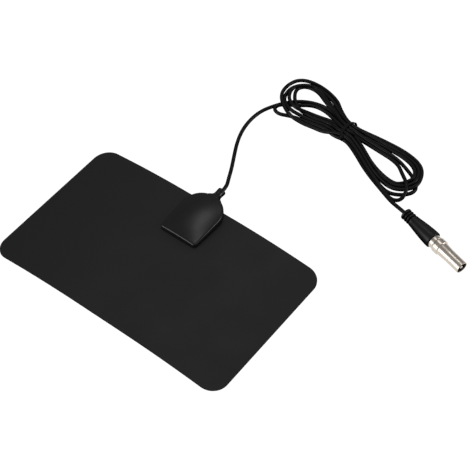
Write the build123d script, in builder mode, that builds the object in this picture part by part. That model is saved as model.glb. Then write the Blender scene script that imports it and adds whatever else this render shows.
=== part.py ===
from build123d import *
import math
import os

# Flat indoor television aerial: an arched black film panel, a feed housing, a tied coaxial lead and a plug.
# Millimetres. +X runs along the film's long side, +Y from its free long edge to the feed housing, +Z up.
# The origin lies on the table, under the middle of the film and the housing taken together.

# Film panel: two sheets with foil between them, arched over the housing's lower half
panel_width = 210.0
panel_depth = 126.0
corner_radius = 13.0
front_film_thickness = 0.3
rear_film_thickness = 0.3
foil_thickness = 0.1
glue_gap = 0.05
flat_margin = 3.5

# Foil elements, one on each side, with a tab that runs in under the housing
foil_margin = 9.0
foil_gap = 8.0
foil_housing_gap = 4.0
foil_corner_radius = 8.5
feed_tab_width = 6.0
feed_tab_end = 3.5

# Feed housing: a shallow base under the film and a domed cover over it
housing_width = 33.0
housing_reach = 38.5
housing_overhang = 5.7
near_corner_radius = 2.0
wall = 1.6
base_height = 5.6
base_floor = 1.6
base_chamfer = 0.6
film_edge_clearance = 0.2
near_edge_height = 2.6
near_edge_crown = 0.2
shoulder_height = 4.2
crown_height = 6.8
far_shoulder_height = 4.4
far_crown_height = 6.2
crown_setback = 16.0
rim_radius = 1.2

# Neck of the housing and the bush that the cable comes out of
cable_diameter = 3.0
cable_rise = 2.3
neck_root_radius = 4.0
neck_radius = 3.0
neck_length = 6.4
neck_flare = 3.6
bush_seat_depth = 3.2
bush_body_radius = 2.1
bush_flange_radius = 2.6
bush_flange_thickness = 1.5
bush_head_radius = 3.1
bush_head_length = 2.6
bush_head_round = 0.9

# Screws and locating pegs that close the housing through the film
screw_radius = 1.25
screw_head_radius = 2.2
screw_head_height = 1.5
screw_engagement = 4.0
screw_inset = 6.0
screw_setback = 5.0
screw_hole_clearance = 0.2
counterbore_depth = 2.3
drive_slot_length = 2.6
drive_slot_width = 0.6
drive_slot_depth = 0.7
base_boss_radius = 3.2
cover_boss_radius = 2.6
peg_radius = 1.5
peg_pad_radius = 3.2
peg_socket_radius = 2.9
peg_length = 3.0
peg_inset = 4.0
peg_setback = 6.5
peg_clearance = 0.05
socket_end_clearance = 0.3

# Matching board on the film, with its transformer and rivets
board_width = 22.0
board_depth = 15.0
board_thickness = 1.0
board_setback = 9.5
pad_inset = 1.5
rivet_spacing = 14.0
rivet_inset = 2.5
rivet_shank_radius = 0.9
rivet_bore_radius = 0.5
rivet_head_radius = 1.7
rivet_head_height = 0.4
core_width = 7.0
core_depth = 5.0
core_height = 2.8
core_edge_radius = 0.5
core_hole_radius = 0.8
core_hole_spacing = 3.2
core_inset = 4.7
winding_width = 0.7
winding_height = 0.9
winding_overhang = 1.2
winding_corner_radius = 0.5

# Stripped end of the cable inside the housing
jacket_protrusion = 1.5
braid_radius = 1.05
braid_length = 2.2
dielectric_radius = 0.8
dielectric_length = 4.0
conductor_radius = 0.25
pigtail_radius = 0.4
pigtail_offset = 4.0
wire_bend_radius = 0.9
solder_radius = 1.0
solder_top_radius = 0.6
solder_height = 0.7

# Plug: moulded boot, drawn shell, insulator and pin, measured along its axis from the boot's rear
plug_rear_x = 122.1
plug_rear_dy = 64.0
plug_heading = -15.0
boot_rear_radius = 4.2
boot_rear_length = 9.1
boot_radius = 6.3
boot_rim_station = 28.8
boot_length = 30.0
boot_rear_round = 0.8
boot_rim_round = 0.8
groove_count = 3
groove_pitch = 2.4
groove_first = 2.3
groove_width = 1.0
groove_depth = 0.7
shell_depth = 8.0
shell_wall = 0.55
neck_band_radius = 5.3
bead_radius = 5.85
bead_start = 32.9
bead_length = 4.6
bead_round = 0.45
shoulder_length = 4.4
barrel_radius = 4.76
barrel_length = 18.0
barrel_lip = 0.2
insulator_setback = 11.0
pin_radius = 1.19
pin_setback = 0.6
pin_tip_round = 0.7
pin_tail = 14.0

# Tied hank of cable, and the cable's free stretches: places from the cable's exit, heights from the table
hank_height = 6.4
hank_edge_round = 2.4
hank_opening_round = 1.6
tie_place = (36.5, 110.0)
tie_length = 3.2
tie_width = 20.4
tie_height = 6.2
tie_thickness = 0.9
tie_corner_radius = 2.8
stub_length = 6.0
hank_outline = [
    (36.5, 118.2),
    (8.5, 132.2),
    (-11.0, 138.8),
    (-26.5, 134.2),
    (-31.5, 121.0),
    (-28.5, 106.5),
    (-26.0, 93.5),
    (-12.0, 93.0),
    (8.0, 98.0),
    (36.5, 101.6),
    (50.5, 98.6),
    (74.0, 85.0),
    (104.0, 70.5),
    (114.5, 79.0),
    (112.5, 108.5),
    (91.0, 120.5),
    (62.0, 117.5),
]
left_opening = [(10.0, 123.2), (-4.5, 130.5), (-20.5, 128.0), (-16.0, 111.0), (-3.0, 120.8)]
middle_opening = [(-11.0, 109.4), (5.0, 117.2), (24.0, 112.6), (4.0, 109.0)]
right_opening = [(44.5, 109.9), (84.0, 106.5), (104.0, 93.0), (95.0, 85.8), (74.0, 93.5)]
hank_openings = [left_opening, middle_opening, right_opening]
lead_first_run = 5.5
lead_route = [
    (-4.0, 13.0, 7.8),
    (-10.5, 25.0, 4.9),
    (-18.5, 38.3, 2.4),
    (-25.3, 50.6, 1.5),
    (-29.7, 62.4, 1.5),
    (-31.5, 73.8, 1.5),
    (-31.2, 83.2, 1.5),
    (-29.6, 90.2, 1.5),
    (-26.8, 96.4, 1.5),
]
tail_start = (106.0, 69.6, 4.2)
tail_last_run = 8.0
arc_share = 0.45

# How far cutting blocks run past what they cut
overrun = 2.0

# Levels and places worked out from the sizes above
footprint_depth = panel_depth + housing_overhang + neck_length + bush_head_length
near_edge_y = -footprint_depth / 2
far_edge_y = near_edge_y + panel_depth
panel_y = near_edge_y + panel_depth / 2
housing_near_y = far_edge_y - housing_reach
housing_far_y = far_edge_y + housing_overhang
round_centre_y = housing_far_y - housing_width / 2
film_mid = base_height + rear_film_thickness
film_top = film_mid + front_film_thickness
board_top = film_top + board_thickness
cable_radius = cable_diameter / 2
cable_z = film_top + cable_rise
bush_seat_y = housing_far_y - bush_seat_depth
bush_inner_y = bush_seat_y - bush_flange_thickness
neck_end_y = housing_far_y + neck_length
exit_y = neck_end_y + bush_head_length
jacket_end_y = bush_inner_y - jacket_protrusion
core_end_y = jacket_end_y - dielectric_length
board_far_y = far_edge_y - board_setback
board_y = board_far_y - board_depth / 2
pad_y = board_far_y - pad_inset
rivet_y = board_far_y - board_depth + rivet_inset
core_y = board_far_y - core_inset - core_depth / 2
screw_x = housing_width / 2 - screw_inset
screw_y = far_edge_y - screw_setback
peg_x = housing_width / 2 - peg_inset
peg_y = housing_near_y + peg_setback
screw_places = [(-screw_x, screw_y), (screw_x, screw_y)]
peg_places = [(-peg_x, peg_y), (peg_x, peg_y)]
rivet_places = [(-rivet_spacing / 2, rivet_y), (rivet_spacing / 2, rivet_y)]

os.makedirs("parts", exist_ok=True)


def save(builder, name):
    """Label a finished piece and write it as its own file."""
    builder.part.label = name
    export_step(builder.part, f"parts/{name}.step")


# Film panel: a level strip under the housing, then one arc on each side down to the table

flat_half = housing_width / 2 + flat_margin
arch_run = panel_width / 2 - flat_half
arch_radius = (arch_run**2 + base_height**2) / (2 * base_height)
arch_angle = math.degrees(math.asin((arch_run + overrun) / arch_radius))


def film_layer(level, thickness):
    """Arched sheet, its underside raised by level from the rear film's underside, still untrimmed."""
    inner = arch_radius + level
    outer = inner + thickness
    centre_z = base_height - arch_radius
    with BuildPart() as layer:
        with BuildSketch(Plane.XZ.offset(-panel_y)):
            with BuildLine():
                inner_right = CenterArc((flat_half, centre_z), inner, 90, -arch_angle)
                inner_left = CenterArc((-flat_half, centre_z), inner, 90, arch_angle)
                outer_right = CenterArc((flat_half, centre_z), outer, 90, -arch_angle)
                outer_left = CenterArc((-flat_half, centre_z), outer, 90, arch_angle)
                Line(inner_left @ 0, inner_right @ 0)
                Line(outer_left @ 0, outer_right @ 0)
                Line(inner_right @ 1, outer_right @ 1)
                Line(inner_left @ 1, outer_left @ 1)
            make_face()
        extrude(amount=panel_depth / 2, both=True)
    return layer.part


def panel_trim():
    """Upright block with the panel's rounded outline and the holes for screws, pegs and rivets."""
    with BuildPart() as block:
        with BuildSketch(Plane.XY.offset(-overrun)):
            with Locations((0, panel_y)):
                RectangleRounded(panel_width, panel_depth, corner_radius)
            with Locations(*screw_places):
                Circle(screw_radius + screw_hole_clearance, mode=Mode.SUBTRACT)
            with Locations(*peg_places):
                Circle(peg_radius + screw_hole_clearance, mode=Mode.SUBTRACT)
            with Locations(*rivet_places):
                Circle(rivet_shank_radius, mode=Mode.SUBTRACT)
        extrude(amount=film_top + 2 * overrun)
    return block.part


def foil_trim(side):
    """Upright block over one foil: a plate with a tab to its rivet; side is -1 for left, 1 for right."""
    plate_near = near_edge_y + foil_margin
    plate_far = housing_near_y - foil_housing_gap
    plate_mid = (plate_near + plate_far) / 2
    plate_width = panel_width / 2 - foil_margin - foil_gap / 2
    tab_length = rivet_y + feed_tab_end - plate_mid
    with BuildPart() as block:
        with BuildSketch(Plane.XY.offset(-overrun)):
            with Locations((side * (foil_gap + plate_width) / 2, plate_mid)):
                RectangleRounded(plate_width, plate_far - plate_near, foil_corner_radius)
            with Locations((side * rivet_spacing / 2, plate_mid)):
                Rectangle(feed_tab_width, tab_length, align=(Align.CENTER, Align.MIN))
            with Locations(*rivet_places):
                Circle(rivet_shank_radius, mode=Mode.SUBTRACT)
        extrude(amount=film_top + 2 * overrun)
    return block.part


foil_level = rear_film_thickness - glue_gap - foil_thickness
front_layer = film_layer(rear_film_thickness, front_film_thickness)
rear_layer = film_layer(0, rear_film_thickness)
foil_layer = film_layer(foil_level, foil_thickness)
pocket_layer = film_layer(foil_level, foil_thickness + glue_gap)
panel_block = panel_trim()

with BuildPart() as front_film:
    add(front_layer)
    add(panel_block, mode=Mode.INTERSECT)
save(front_film, "front_film")

foil_blocks = {"left_element": foil_trim(-1), "right_element": foil_trim(1)}
pockets = []
for name, block in foil_blocks.items():
    with BuildPart() as element:
        add(foil_layer)
        add(block, mode=Mode.INTERSECT)
    save(element, name)
    with BuildPart() as pocket:
        add(pocket_layer)
        add(block, mode=Mode.INTERSECT)
    pockets.append(pocket.part)

with BuildPart() as rear_film:
    add(rear_layer)
    add(panel_block, mode=Mode.INTERSECT)
    add(pockets, mode=Mode.SUBTRACT)
save(rear_film, "rear_film")


# Feed housing


def housing_plan(inset):
    """D-shaped plan of the housing, inset from its outer wall: square near end, half-round far end."""
    half = housing_width / 2 - inset
    near = housing_near_y + inset
    with BuildSketch() as plan:
        with BuildLine():
            Polyline((half, round_centre_y), (half, near), (-half, near), (-half, round_centre_y))
            CenterArc((0, round_centre_y), half, 0, 180)
        make_face()
        fillet(plan.vertices().group_by(Axis.Y)[0], near_corner_radius)
    return plan.sketch


def dome(drop):
    """Block under the cover's top, lowered by drop: level at the near edge, crowned at the far end."""
    half = housing_width / 2 + overrun
    sections = [
        (housing_near_y - overrun, near_edge_height, near_edge_height + near_edge_crown),
        (housing_far_y - crown_setback, shoulder_height, crown_height),
        (housing_far_y + overrun, far_shoulder_height, far_crown_height),
    ]
    with BuildPart() as block:
        for y, side, crown in sections:
            with BuildSketch(Plane(origin=(0, y, film_top), x_dir=(1, 0, 0), z_dir=(0, -1, 0))):
                with BuildLine():
                    Polyline((-half, side - drop), (-half, 0), (half, 0), (half, side - drop))
                    ThreePointArc((half, side - drop), (0, crown - drop), (-half, side - drop))
                make_face()
        loft()
    return block.part


def neck_half(keep):
    """Upper or lower half of the neck: a flared sleeve round the cable, parted at the film's top."""
    with BuildPart() as neck:
        with BuildSketch(Plane(origin=(0, 0, cable_z), x_dir=(0, 1, 0), z_dir=(1, 0, 0))):
            with BuildLine():
                Polyline(
                    (housing_far_y, neck_root_radius),
                    (bush_seat_y, neck_root_radius),
                    (bush_seat_y, bush_body_radius),
                    (neck_end_y, bush_body_radius),
                    (neck_end_y, neck_radius),
                    (housing_far_y + neck_flare, neck_radius),
                )
                TangentArc(
                    (housing_far_y + neck_flare, neck_radius),
                    (housing_far_y, neck_root_radius),
                    tangent=(-1, 0),
                )
            make_face()
        revolve(axis=Axis((0, 0, cable_z), (0, 1, 0)))
        split(bisect_by=Plane.XY.offset(film_top), keep=keep)
    return neck.part


outer_dome = dome(0)
inner_dome = dome(wall)
outer_plan = housing_plan(0)
inner_plan = housing_plan(wall)
neck_top = neck_half(Keep.TOP)
neck_bottom = neck_half(Keep.BOTTOM)

with BuildPart() as cover_cavity:
    add(inner_dome)
    with BuildSketch(Plane.XY.offset(film_top)):
        add(inner_plan)
        with Locations(*screw_places):
            Circle(cover_boss_radius, mode=Mode.SUBTRACT)
        with Locations(*peg_places):
            Circle(peg_pad_radius, mode=Mode.SUBTRACT)
    extrude(amount=crown_height, mode=Mode.INTERSECT)

with BuildPart() as housing_cover:
    add(outer_dome)
    with BuildSketch(Plane.XY.offset(film_top)):
        add(outer_plan)
    extrude(amount=crown_height + overrun, mode=Mode.INTERSECT)
    fillet(housing_cover.faces().sort_by(Axis.Z)[-1].edges(), rim_radius)
    add(cover_cavity.part, mode=Mode.SUBTRACT)
    add(neck_top)
    with BuildSketch(Plane.XZ.offset(-bush_seat_y)):
        with Locations((0, cable_z)):
            Circle(bush_body_radius)
    extrude(amount=-bush_seat_depth, mode=Mode.SUBTRACT)
    with BuildSketch(Plane.XY.offset(film_top)):
        with Locations(*screw_places):
            Circle(screw_radius)
    extrude(amount=screw_engagement, mode=Mode.SUBTRACT)
    with BuildSketch(Plane.XY.offset(film_top)):
        with Locations(*peg_places):
            Circle(peg_radius)
    extrude(amount=-(film_top - base_height + peg_length))
save(housing_cover, "housing_cover")

with BuildPart() as housing_base:
    with BuildSketch():
        add(outer_plan)
    extrude(amount=base_height)
    chamfer(housing_base.faces().sort_by(Axis.Z)[0].edges(), base_chamfer)
    with BuildSketch(Plane.XY.offset(base_height)):
        add(outer_plan)
        with Locations((0, far_edge_y + film_edge_clearance)):
            Rectangle(
                housing_width,
                housing_reach + overrun,
                align=(Align.CENTER, Align.MAX),
                mode=Mode.SUBTRACT,
            )
    extrude(amount=film_top - base_height)
    with BuildSketch(Plane.XY.offset(base_floor)):
        add(inner_plan)
        with Locations(*screw_places):
            Circle(base_boss_radius, mode=Mode.SUBTRACT)
        with Locations(*peg_places):
            Circle(peg_socket_radius, mode=Mode.SUBTRACT)
    extrude(amount=film_top, mode=Mode.SUBTRACT)
    add(neck_bottom)
    with Locations(*[(x, y, base_height) for x, y in peg_places]):
        Hole(peg_radius + peg_clearance, depth=peg_length + socket_end_clearance)
    with Locations(*screw_places):
        with Locations(Rot(180, 0, 0)):
            CounterBoreHole(
                screw_radius + screw_hole_clearance,
                screw_head_radius + screw_hole_clearance,
                counterbore_depth,
                depth=film_top,
            )
save(housing_base, "housing_base")

with BuildPart() as housing_screws:
    with BuildSketch(Plane.XY.offset(counterbore_depth - screw_head_height)):
        with Locations(*screw_places):
            Circle(screw_head_radius)
    extrude(amount=screw_head_height)
    with BuildSketch(Plane.XY.offset(counterbore_depth)):
        with Locations(*screw_places):
            Circle(screw_radius)
    extrude(amount=film_top + screw_engagement - counterbore_depth)
    with BuildSketch(Plane.XY.offset(counterbore_depth - screw_head_height)):
        with Locations(*screw_places):
            Rectangle(drive_slot_length, drive_slot_width)
            Rectangle(drive_slot_width, drive_slot_length)
    extrude(amount=drive_slot_depth, mode=Mode.SUBTRACT)
save(housing_screws, "housing_screws")

with BuildPart() as cable_bush:
    with BuildSketch(Plane(origin=(0, 0, cable_z), x_dir=(0, 1, 0), z_dir=(1, 0, 0))) as bush_section:
        with BuildLine():
            Polyline(
                (bush_inner_y, cable_radius),
                (bush_inner_y, bush_flange_radius),
                (bush_seat_y, bush_flange_radius),
                (bush_seat_y, bush_body_radius),
                (neck_end_y, bush_body_radius),
                (neck_end_y, bush_head_radius),
                (exit_y, bush_head_radius),
                (exit_y, cable_radius),
                close=True,
            )
        make_face()
        fillet(bush_section.vertices().group_by(Axis.Y)[-1], bush_head_round)
    revolve(axis=Axis((0, 0, cable_z), (0, 1, 0)))
save(cable_bush, "cable_bush")


# Matching board, its transformer and its rivets

with BuildPart() as matching_board:
    with BuildSketch(Plane.XY.offset(film_top)):
        with Locations((0, board_y)):
            Rectangle(board_width, board_depth)
        with Locations(*rivet_places):
            Circle(rivet_shank_radius, mode=Mode.SUBTRACT)
    extrude(amount=board_thickness)
save(matching_board, "matching_board")

with BuildPart() as contact_rivets:
    with BuildSketch(Plane.XY.offset(base_height - rivet_head_height)):
        with Locations(*rivet_places):
            Circle(rivet_head_radius)
    extrude(amount=rivet_head_height)
    with BuildSketch(Plane.XY.offset(base_height)):
        with Locations(*rivet_places):
            Circle(rivet_shank_radius)
    extrude(amount=board_top - base_height)
    with BuildSketch(Plane.XY.offset(board_top)):
        with Locations(*rivet_places):
            Circle(rivet_head_radius)
    extrude(amount=rivet_head_height)
    with Locations(*[(x, y, board_top + rivet_head_height) for x, y in rivet_places]):
        Hole(rivet_bore_radius)
save(contact_rivets, "contact_rivets")

core_mid_z = board_top + core_height / 2

with BuildPart() as balun_core:
    with Locations((0, core_y, core_mid_z)):
        Box(core_width, core_depth, core_height)
    fillet(balun_core.edges().filter_by(Axis.Y), core_edge_radius)
    with BuildSketch(Plane.XZ.offset(-core_y)):
        with Locations((-core_hole_spacing / 2, core_mid_z), (core_hole_spacing / 2, core_mid_z)):
            Circle(core_hole_radius)
    extrude(amount=core_depth, both=True, mode=Mode.SUBTRACT)
save(balun_core, "balun_core")

loop_width = core_hole_spacing + winding_width
loop_depth = core_depth + 2 * winding_overhang
leg_dx = core_hole_spacing / 2
leg_dy = loop_depth / 2 - winding_width / 2
leg_places = [(dx, core_y + dy) for dx in (-leg_dx, leg_dx) for dy in (-leg_dy, leg_dy)]

with BuildPart() as balun_winding:
    with BuildSketch(Plane.XY.offset(core_mid_z - winding_height / 2)):
        with Locations((0, core_y)):
            RectangleRounded(loop_width, loop_depth, winding_corner_radius)
            Rectangle(loop_width - 2 * winding_width, loop_depth - 2 * winding_width, mode=Mode.SUBTRACT)
    extrude(amount=winding_height)
    with BuildSketch(Plane.XY.offset(board_top)):
        with Locations(*leg_places):
            Circle(winding_width / 2)
    extrude(amount=core_height / 2)
save(balun_winding, "balun_winding")


# Stripped end of the cable

with BuildPart() as cable_end:
    with BuildSketch(Plane.XZ.offset(-jacket_end_y)):
        with Locations((0, cable_z)):
            Circle(cable_radius)
    extrude(amount=-(exit_y - jacket_end_y))
save(cable_end, "cable_end")

with BuildPart() as coax_core:
    with BuildSketch(Plane.XZ.offset(-jacket_end_y)):
        with Locations((0, cable_z)):
            Circle(dielectric_radius)
    extrude(amount=dielectric_length)
save(coax_core, "coax_core")

with BuildPart() as coax_conductor:
    with BuildLine() as wire_path:
        FilletPolyline(
            (0, core_end_y, cable_z),
            (0, pad_y, cable_z),
            (0, pad_y, board_top),
            radius=wire_bend_radius,
        )
    with BuildSketch(Plane.XZ.offset(-core_end_y)):
        with Locations((0, cable_z)):
            Circle(conductor_radius)
    sweep(path=wire_path.line)
save(coax_conductor, "coax_conductor")

pigtail_y = jacket_end_y - braid_length / 2

with BuildPart() as coax_braid:
    with BuildLine() as pigtail_path:
        FilletPolyline(
            (braid_radius - pigtail_radius / 2, pigtail_y, cable_z),
            (pigtail_offset, pigtail_y, cable_z),
            (pigtail_offset, pad_y, cable_z),
            (pigtail_offset, pad_y, board_top),
            radius=wire_bend_radius,
        )
    with BuildSketch(Plane.YZ.offset(braid_radius - pigtail_radius / 2)):
        with Locations((pigtail_y, cable_z)):
            Circle(pigtail_radius)
    sweep(path=pigtail_path.line)
    with BuildSketch(Plane.XZ.offset(-jacket_end_y)):
        with Locations((0, cable_z)):
            Circle(braid_radius)
    extrude(amount=braid_length)
    add(coax_core.part, mode=Mode.SUBTRACT)
save(coax_braid, "coax_braid")

solder_slope = math.degrees(math.atan((solder_radius - solder_top_radius) / solder_height))

with BuildPart() as solder_joints:
    with BuildSketch(Plane.XY.offset(board_top)):
        with Locations((0, pad_y), (pigtail_offset, pad_y)):
            Circle(solder_radius)
    extrude(amount=solder_height, taper=solder_slope)
    add([coax_conductor.part, coax_braid.part], mode=Mode.SUBTRACT)
save(solder_joints, "solder_joints")


# Plug, lying on the rim of its boot and the lip of its barrel

shoulder_start = bead_start + bead_length
barrel_start = shoulder_start + shoulder_length
plug_length = barrel_start + barrel_length
shell_start = boot_length - shell_depth
plug_tilt = math.atan((boot_radius - barrel_radius) / (plug_length - boot_rim_station))
plug_rear = Vector(
    plug_rear_x,
    exit_y + plug_rear_dy,
    boot_rim_station * math.sin(plug_tilt) + boot_radius * math.cos(plug_tilt),
)
plug_turn = math.radians(plug_heading)
plug_direction = Vector(
    math.cos(plug_turn) * math.cos(plug_tilt),
    math.sin(plug_turn) * math.cos(plug_tilt),
    -math.sin(plug_tilt),
)
plug_side = Vector(math.sin(plug_turn), -math.cos(plug_turn), 0)
plug_plane = Plane(origin=plug_rear, x_dir=plug_direction, z_dir=plug_side)
plug_axis = Axis(plug_rear, plug_direction)
neck_inner_radius = neck_band_radius - shell_wall
barrel_inner_radius = barrel_radius - shell_wall
insulator_end = plug_length - insulator_setback
pin_start = insulator_end - pin_tail


def turned(points, rounds):
    """Body turned about the plug's axis: corners as (station, radius), rounds by corner number."""
    with BuildPart() as body:
        with BuildSketch(plug_plane):
            with BuildLine():
                FilletPolyline(*points, radius=[rounds.get(i, 0) for i in range(len(points))], close=True)
            make_face()
        revolve(axis=plug_axis)
    return body.part


boot_blank = turned(
    [
        (0, 0),
        (0, boot_rear_radius),
        (boot_rear_length, boot_rear_radius),
        (boot_rim_station, boot_radius),
        (boot_length, boot_radius),
        (boot_length, neck_band_radius),
        (shell_start, neck_band_radius),
        (shell_start, 0),
    ],
    {1: boot_rear_round, 2: boot_rear_length, 4: boot_rim_round},
)

with BuildPart() as plug_boot:
    add(boot_blank)
    with BuildSketch(plug_plane):
        for i in range(groove_count):
            with Locations((groove_first + i * groove_pitch, boot_rear_radius)):
                Rectangle(groove_width, 2 * groove_depth)
    revolve(axis=plug_axis, mode=Mode.SUBTRACT)
save(plug_boot, "plug_boot")

shell_body = turned(
    [
        (shell_start, neck_inner_radius),
        (shell_start, neck_band_radius),
        (bead_start, neck_band_radius),
        (bead_start, bead_radius),
        (shoulder_start, bead_radius),
        (barrel_start, barrel_radius),
        (plug_length, barrel_radius),
        (plug_length, barrel_inner_radius),
        (barrel_start, barrel_inner_radius),
        (shoulder_start, neck_inner_radius),
    ],
    {3: bead_round, 4: bead_round, 6: barrel_lip, 7: barrel_lip},
)

with BuildPart() as plug_shell:
    add(shell_body)
save(plug_shell, "plug_shell")

pin_end = plug_length - pin_setback
pin_body = turned(
    [(pin_start, 0), (pin_start, pin_radius), (pin_end, pin_radius), (pin_end, 0)],
    {2: pin_tip_round},
)

with BuildPart() as plug_pin:
    add(pin_body)
save(plug_pin, "plug_pin")

insulator_body = turned(
    [
        (shell_start, 0),
        (shell_start, neck_inner_radius),
        (shoulder_start, neck_inner_radius),
        (barrel_start, barrel_inner_radius),
        (insulator_end, barrel_inner_radius),
        (insulator_end, 0),
    ],
    {},
)

with BuildPart() as plug_insulator:
    add(insulator_body)
    add(plug_pin.part, mode=Mode.SUBTRACT)
save(plug_insulator, "plug_insulator")


# Cable outside the housing: lead, tied hank and tail


def from_exit(point):
    """A place given from the cable's exit, in the part's own frame."""
    return Vector(point[0], exit_y + point[1], *point[2:])


def route_radii(points):
    """Arc radius at each inner point of a route: as large as the shorter of its two runs allows."""
    radii = []
    for before, here, after in zip(points, points[1:], points[2:]):
        turn = math.radians((here - before).get_angle(after - here))
        radii.append(arc_share * min((here - before).length, (after - here).length) / math.tan(turn / 2))
    return radii


def cable_tube(points):
    """Tube of the cable's diameter along straight runs joined by tangent arcs."""
    radii = route_radii(points)
    with BuildPart() as tube:
        with BuildLine() as path:
            FilletPolyline(*points, radius=radii)
        with BuildSketch(Plane(origin=points[0], z_dir=points[1] - points[0])):
            Circle(cable_radius)
        sweep(path=path.line)
    length = sum(edge.length for edge in path.edges())
    expected = math.pi * cable_radius**2 * length
    print("cable radii", [round(r, 1) for r in radii], "length", round(length, 1))
    print("cable volume over section times length", round(tube.part.volume / expected, 4))
    return tube.part


def rounded_loop(corners):
    """Closed outline inside its corner points, each corner as round as its two sides allow."""
    points = [from_exit(p) for p in corners]
    with BuildSketch() as loop:
        with BuildLine():
            FilletPolyline(*points, radius=route_radii([points[-1], *points, points[0]]), close=True)
        make_face()
    return loop.sketch


def end_stub(end, toward):
    """Short length of cable inside the hank, ending square where a free stretch takes over."""
    with BuildPart() as stub:
        with BuildSketch(Plane(origin=end, z_dir=toward)):
            Circle(cable_radius)
        extrude(amount=stub_length)
    return stub.part


lead_start = Vector(0, exit_y, cable_z)
lead_points = [lead_start, lead_start + Vector(0, lead_first_run, 0), *[from_exit(p) for p in lead_route]]
tail_points = [from_exit(tail_start), plug_rear - plug_direction * tail_last_run, plug_rear]
lead_body = cable_tube(lead_points)
tail_body = cable_tube(tail_points)
lead_stub = end_stub(lead_points[-1], lead_points[-1] - lead_points[-2])
tail_stub = end_stub(tail_points[0], tail_points[0] - tail_points[1])

with BuildPart() as cable_lead:
    add(lead_body)
save(cable_lead, "cable_lead")

with BuildPart() as cable_tail:
    add(tail_body)
save(cable_tail, "cable_tail")

tie_centre = from_exit(tie_place)
tie_plane = Plane(origin=(tie_centre.X, tie_centre.Y, tie_height / 2), x_dir=(0, 1, 0), z_dir=(1, 0, 0))
waist_width = tie_width - 2 * tie_thickness
waist_height = tie_height - 2 * tie_thickness

hank_plan = rounded_loop(hank_outline)
opening_plans = [rounded_loop(corners) for corners in hank_openings]

with BuildPart() as cable_hank:
    with BuildSketch():
        add(hank_plan)
        add(opening_plans, mode=Mode.SUBTRACT)
    extrude(amount=hank_height)
    level_faces = cable_hank.faces().filter_by(Axis.Z)
    fillet([edge for face in level_faces for edge in face.outer_wire().edges()], hank_edge_round)
    level_faces = cable_hank.faces().filter_by(Axis.Z)
    opening_wires = [wire for face in level_faces for wire in face.inner_wires()]
    fillet([edge for wire in opening_wires for edge in wire.edges()], hank_opening_round)
    with Locations(tie_plane):
        Box(tie_width + 4 * overrun, hank_height + 4 * overrun, tie_length, mode=Mode.SUBTRACT)
    with BuildSketch(tie_plane):
        RectangleRounded(waist_width, waist_height, tie_corner_radius - tie_thickness)
    extrude(amount=tie_length / 2, both=True)
    add(lead_stub)
    add(tail_stub)
save(cable_hank, "cable_hank")

with BuildPart() as cable_tie:
    with BuildSketch(tie_plane):
        RectangleRounded(tie_width, tie_height, tie_corner_radius)
        RectangleRounded(waist_width, waist_height, tie_corner_radius - tie_thickness, mode=Mode.SUBTRACT)
    extrude(amount=tie_length / 2, both=True)
save(cable_tie, "cable_tie")
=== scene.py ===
"""Flat indoor TV antenna: film panel, domed feed housing, tied coaxial lead and push-on plug.

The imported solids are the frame. The pieces that can be seen are surfaces worked out with numpy in
the same frame, and the hidden solids keep their meshes and get a procedural finish. Lengths are in
metres.
"""

import math

import bmesh
import bpy
import mathutils
import numpy as np
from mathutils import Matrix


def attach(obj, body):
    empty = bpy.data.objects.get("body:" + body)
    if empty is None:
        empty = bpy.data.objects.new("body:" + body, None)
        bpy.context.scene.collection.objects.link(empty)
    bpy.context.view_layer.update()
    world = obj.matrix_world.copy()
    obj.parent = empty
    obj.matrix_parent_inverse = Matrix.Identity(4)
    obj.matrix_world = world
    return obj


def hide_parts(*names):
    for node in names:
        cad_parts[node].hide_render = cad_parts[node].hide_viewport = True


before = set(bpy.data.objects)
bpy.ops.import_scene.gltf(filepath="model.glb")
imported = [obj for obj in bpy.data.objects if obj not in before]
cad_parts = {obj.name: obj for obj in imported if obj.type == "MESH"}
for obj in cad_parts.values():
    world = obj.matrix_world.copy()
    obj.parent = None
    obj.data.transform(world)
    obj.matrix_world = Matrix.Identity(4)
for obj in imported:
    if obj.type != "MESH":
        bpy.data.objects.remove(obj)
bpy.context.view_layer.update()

bl_info = {
    "name": "Flat indoor TV antenna",
    "version": (1, 0, 0),
    "blender": (4, 5, 0),
    "location": "View3D > Sidebar > Antenna",
    "description": "Dresses the packed antenna: panel, housing, coaxial lead, plug, tie and stage",
    "category": "Object",
}

MM = 0.001
BODY = "root"


# Sizes and colours that a user would change


def length(name, description, mm):
    """A length property, given in millimetres and held in metres."""
    return bpy.props.FloatProperty(
        name=name,
        description=description,
        default=mm * MM,
        min=0.0,
        precision=5,
        unit="LENGTH",
        subtype="DISTANCE",
    )


def number(name, description, value, unit="NONE"):
    """A plain number property, such as a light's power."""
    return bpy.props.FloatProperty(
        name=name, description=description, default=value, min=0.0, unit=unit
    )


def colour(name, description, code):
    """A colour property whose default is an sRGB hex value turned to linear."""
    return bpy.props.FloatVectorProperty(
        name=name,
        description=description,
        default=linear(code)[:3],
        size=3,
        min=0.0,
        max=1.0,
        subtype="COLOR",
    )


def linear(code):
    """Linear RGBA of an sRGB hex value: the sRGB curve undone for each of its three parts."""
    parts = np.array([int(code[i : i + 2], 16) for i in (1, 3, 5)]) / 255.0
    curve = np.where(parts <= 0.04045, parts / 12.92, ((parts + 0.055) / 1.055) ** 2.4)
    return (*curve.tolist(), 1.0)


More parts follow.
